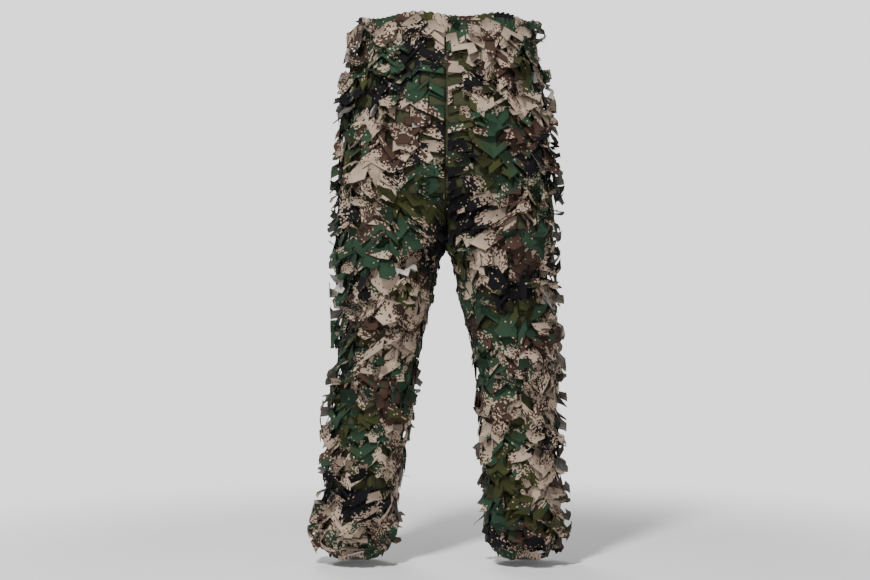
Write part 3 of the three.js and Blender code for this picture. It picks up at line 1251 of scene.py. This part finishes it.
@dataclass
class LeafRows:
    """The rows of cut strip and the leaves hanging over them."""

    shape: GarmentShape
    finishes: Finishes
    bending: Bending
    least_lift: float = 0.0015
    most_lift: float = 0.027
    ragged: float = 0.020
    spacing: float = 0.030
    at_side: float = 0.42
    over_cuff: float = 0.030
    reach: float = 0.99
    reach_at_crotch: float = 0.94
    small_from: float = 0.75
    smaller: float = 0.35
    crumple: float = 0.0020
    crumple_noise: float = 45.0
    over_waist: float = 0.014
    root_tone: float = 0.5
    root_run: float = 0.02
    map_jitter: float = 0.03
    turned_share: float = 0.004
    turned_size: float = 0.6
    strips: int = 2
    above_row: float = 0.006
    over_band: float = 0.85
    over_hem: tuple = (0.020, 0.004)
    seam_allowance: float = 1.02
    seed: int = 20

    def __post_init__(self) -> None:
        """Cut the leaf templates."""
        self.templates = [leaf_template(cut) for cut in LeafCut]

    def _reach(self, part: Part, row: int) -> float:
        """How far round from the side seam a row reaches; the rows at the crotch stop short."""
        if (part is Part.SEAT and row == 6) or (part is Part.THIGH and row == 1):
            return self.reach_at_crotch
        return self.reach

    def _hanging(self, dice: random.Random, turn: float, height: float, layer: int) -> Leaf:
        """Choose how one leaf hangs: most lie against the cloth, some are folded out, at the sides more.

        Args:
            dice: The row's random numbers.
            turn: The leaf's place round the section.
            height: Height of its root.
            layer: Whether it hangs in a lower or a raised layer, 0 or 1.

        Returns:
            The leaf.
        """
        at_side = abs(turn) < self.at_side
        at_cuff = height < self.shape.cuff_top + self.over_cuff
        folded_out = dice.random() < (0.6 if at_side or at_cuff else 0.2)
        sense = dice.choice((-1, 1))
        size = dice.uniform(0.6, 0.95) if folded_out else dice.uniform(0.75, 1.25)
        leaf = Leaf(
            turn=turn,
            height=height,
            root_lift=self.least_lift + 0.003 + 0.003 * layer + 0.004 * dice.random(),
            swing=dice.gauss(0, (1.1 if at_side else 0.75) * (0.6 if at_cuff else 1.0)),
            tilt=dice.uniform(0.5, 1.35) if folded_out else dice.uniform(0.0, 0.35),
            curl=dice.uniform(-14, 16) + (dice.uniform(0, 10) if folded_out else 0.0),
            cup=dice.uniform(-10, 10),
            twist=sense * dice.uniform(0.2, 1.3) if at_side else dice.gauss(0, 0.3),
            size=size * (1 - self.smaller * max(abs(turn) - self.small_from, 0) / (1 - self.small_from)),
            flip=dice.random() < 0.5,
            turned_over=dice.random() < self.turned_share,
        )
        if leaf.turned_over:
            leaf.size *= self.turned_size
        return leaf

    def _hang(self, bm: bmesh.types.BMesh, side: Side, leaf: Leaf, quarter: float, dice: random.Random) -> None:
        """Hang one leaf on the garment.

        Args:
            bm: The row's bmesh.
            side: The leg.
            leaf: How it hangs.
            quarter: Length of cloth from the side seam to the centre seam or inseam.
            dice: The row's random numbers.
        """
        template = dice.choice(self.templates)
        first_vert, first_face = len(bm.verts), len(bm.faces)
        bm.from_mesh(template)
        verts, faces = bm.verts[first_vert:], bm.faces[first_face:]
        flat = np.array([v.co[:] for v in verts])
        bent = leaf.bent(flat)
        key = Vector((leaf.turn * 9, leaf.height * 31, side.value))
        crumple = np.array([noise.noise(Vector((a, b, 0)) * self.crumple_noise + key) for a, b in flat[:, :2]])
        turn = leaf.turn + bent[:, 0] / quarter
        height = leaf.height - bent[:, 1]
        lowest = self.shape.hem + self.ragged * max(0.5 + noise.noise(key), 0.0)
        height = height + max(0.0, lowest - float(height.min()))
        height = np.minimum(height, self.shape.waist_top + self.over_waist * (1 + crumple))
        lift = (leaf.root_lift + bent[:, 2] + self.crumple * crumple) * self.shape.kept(turn, height)
        lift = np.clip(lift, self.least_lift, self.most_lift)
        places = self.shape.points(side, turn, height, lift)
        shade = dice.uniform(0.8, 1.12)
        tone = bm.verts.layers.float[TONE]
        sewn = bm.verts.layers.float_vector[SEWN]
        root = self.shape.points(side, np.array([leaf.turn]), np.array([leaf.height]), np.zeros(1))[0]
        # Painted shade: darker towards the sewn root, where the row above would shade it.
        tones = shade * (self.root_tone + (1 - self.root_tone) * ramp(bent[:, 1], 0, self.root_run))
        for vert, place, toned in zip(verts, places, tones):
            vert.co = place
            vert[sewn] = root
            vert[tone] *= toned
        uv = bm.loops.layers.uv[CLOTH_MAP]
        shift = Vector((side.value * MAP_STEP + leaf.turn * quarter, leaf.height))
        shift += Vector([dice.uniform(-self.map_jitter, self.map_jitter) for _ in range(2)])
        for face in faces:
            for loop in face.loops:
                loop[uv].uv += shift
        if leaf.flip != leaf.turned_over:
            bmesh.ops.reverse_faces(bm, faces=faces)

    def _tiers(self, part: Part, row: int, low: float, high: float) -> list[float]:
        """Choose where a row's strips are sewn on; the end rows also cover the waistband and the cuff.

        Args:
            part: Stretch of the leg.
            row: Number of the row in it.
            low: Height of the row's lower edge.
            high: Height of its upper edge.

        Returns:
            The strips' heights, from the top down.
        """
        pitch = (high - low) / self.strips
        tiers = [high + self.above_row - pitch * i for i in range(self.strips)]
        if part is Part.SEAT and row == 1:
            tiers.insert(0, tiers[0] + pitch * self.over_band)
        if part is Part.SHIN and row == part.rows:
            tiers += [low + over for over in self.over_hem]
        return tiers

    def row(self, side: Side, part: Part, row: int) -> bpy.types.Object:
        """Make one row's strips and leaves and put them on their body.

        Args:
            side: The leg.
            part: Stretch of the leg.
            row: Number of the row, from the top of the stretch.

        Returns:
            The row's piece.
        """
        node = f"{side.word}_{part.word}_leaf_row_{row}"
        dice = random.Random(f"{self.seed} {node}")
        low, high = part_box(node)
        quarter = self.shape.quarter(side, (low.z + high.z) / 2)
        reach = self._reach(part, row)
        width = 2 * quarter * reach
        bm = cloth_bmesh()
        bm.verts.layers.float_vector.new(SEWN)
        for layer, top in enumerate(self._tiers(part, row, low.z, high.z)):
            strip = CutStrip(self.shape, side, top, width, quarter, dice).mesh()
            bm.from_mesh(strip)
            bpy.data.meshes.remove(strip)
            count = round(width / self.spacing)
            for i in range(count):
                turn = -reach + (i + dice.uniform(0.0, 1.0)) * 2 * reach / count
                leaf = self._hanging(dice, turn, top + dice.uniform(-0.012, 0.004), layer % 2)
                self._hang(bm, side, leaf, quarter, dice)
        if side is Side.RIGHT:
            bmesh.ops.reverse_faces(bm, faces=bm.faces[:])
        piece, area = sew(f"{side.word}_{part.word}_leaves_{row}", bm, self.finishes.leaf)
        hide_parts(node)
        self.bending.place(piece, side, part, row)
        return piece

    def build(self) -> None:
        """Make every row on both sides."""
        for side in Side:
            for part in Part:
                for row in range(1, part.rows + 1):
                    self.row(side, part, row)
            log.info("%s leaf rows hung", side.word)


# ---- Studio -----------------------------------------------------------------------------------------------


@dataclass
class Studio:
    """Pale floor, soft light and the camera in front."""

    distance: float = 3.2
    lens: float = 69.9
    sensor: float = 36.0
    aim: Vector = field(default_factory=lambda: Vector((-0.020, 0.0, -0.502)))
    floor_gap: float = 0.012
    floor_radius: float = 1.6
    fades: tuple = (0.35, 0.95)
    level: tuple = (0.17, 0.28)
    horizon: float = 1.7
    overhead: float = 0.15
    lamps: tuple = (
        ("key", (-0.9, -2.3, 1.9), 0.45, 148.0),
        ("fill", (2.0, -2.6, 0.3), 2.0, 12.0),
        ("behind", (-0.8, 2.6, 1.7), 1.6, 60.0),
    )

    def _area_light(self, name: str, place: Vector, size: float, power: float) -> None:
        """Hang one soft light, aimed at the garment.

        Args:
            name: The light's name.
            place: Where it hangs.
            size: Diameter of its disk.
            power: Its power in watts.
        """
        data = bpy.data.lights.new(name, "AREA")
        data.shape = "DISK"
        data.size = size
        data.energy = power
        lamp = bpy.data.objects.new(name, data)
        lamp.location = place
        lamp.rotation_euler = (self.aim - place).to_track_quat("-Z", "Y").to_euler()
        bpy.context.scene.collection.objects.link(lamp)

    def _floor_finish(self) -> bpy.types.Material:
        """Make a white sweep that fades out into the background.

        Returns:
            The floor's material.
        """
        tree = NodeTree.of_material("studio_floor")
        flat = tree.vector("MULTIPLY", tree.node("TexCoord").outputs["Object"], (1.0, 1.0, 0.0))
        reach = tree.node("VectorMath", {0: flat}, operation="LENGTH").outputs["Value"]
        start, end = (share * self.floor_radius for share in self.fades)
        gone = tree.node("MapRange", {0: reach, 1: start, 2: end}, interpolation_type="SMOOTHSTEP")
        sweep = tree.node("BsdfPrincipled", {"Base Color": (0.93, 0.93, 0.93, 1.0), "Roughness": 0.9})
        clear = tree.node("BsdfTransparent")
        inputs = {0: gone.outputs[0], 1: sweep.outputs[0], 2: clear.outputs[0]}
        return tree.finish(tree.node("MixShader", inputs))

    def _floor(self) -> None:
        """Lay the floor just below the cuffs."""
        bm = bmesh.new()
        bmesh.ops.create_circle(bm, cap_ends=True, segments=96, radius=self.floor_radius)
        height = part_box("right_cuff")[0].z - self.floor_gap
        bmesh.ops.translate(bm, verts=bm.verts[:], vec=(0.0, 0.0, height))
        make_piece("studio_floor", bm, (self._floor_finish(),))

    def _surroundings(self) -> None:
        """Light the scene from all round, brighter at the horizon than overhead."""
        tree = NodeTree(bpy.data.worlds.new("studio"))
        way = tree.node("SeparateXYZ", {0: tree.node("TexCoord").outputs["Generated"]})
        inputs = {0: tree.math("ABSOLUTE", way.outputs[2]), 1: self.level[0], 2: self.level[1]}
        fall = tree.node("MapRange", inputs | {3: self.horizon, 4: self.overhead})
        light = tree.node("Background", {0: (1.0, 1.0, 1.0, 1.0), 1: fall.outputs[0]})
        bpy.context.scene.world = tree.finish(light, "OutputWorld")

    def _camera(self) -> None:
        """Put the camera in front of the garment, level with its middle."""
        data = bpy.data.cameras.new("camera")
        data.lens = self.lens
        data.sensor_width = self.sensor
        camera = bpy.data.objects.new("camera", data)
        camera.location = self.aim + Vector((0.0, -self.distance, 0.0))
        camera.rotation_euler = (math.pi / 2, 0.0, 0.0)
        bpy.context.scene.collection.objects.link(camera)
        bpy.context.scene.camera = camera

    def build(self) -> None:
        """Set up the studio."""
        self._floor()
        self._surroundings()
        for name, place, size, power in self.lamps:
            self._area_light(name, Vector(place), size, power)
        self._camera()
        log.info("studio lit")


def main() -> None:
    """Dress the frame."""
    logging.basicConfig(level=logging.INFO, format="%(name)s: %(message)s")
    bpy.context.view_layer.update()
    Studio().build()
    shape = GarmentShape()
    finishes = Finishes()
    bending = Bending(shape)
    Panels(shape, finishes, bending).build()
    Casing(shape, finishes).build()
    LeafRows(shape, finishes, bending).build()
    bpy.context.view_layer.update()


if __name__ == "__main__":
    main()
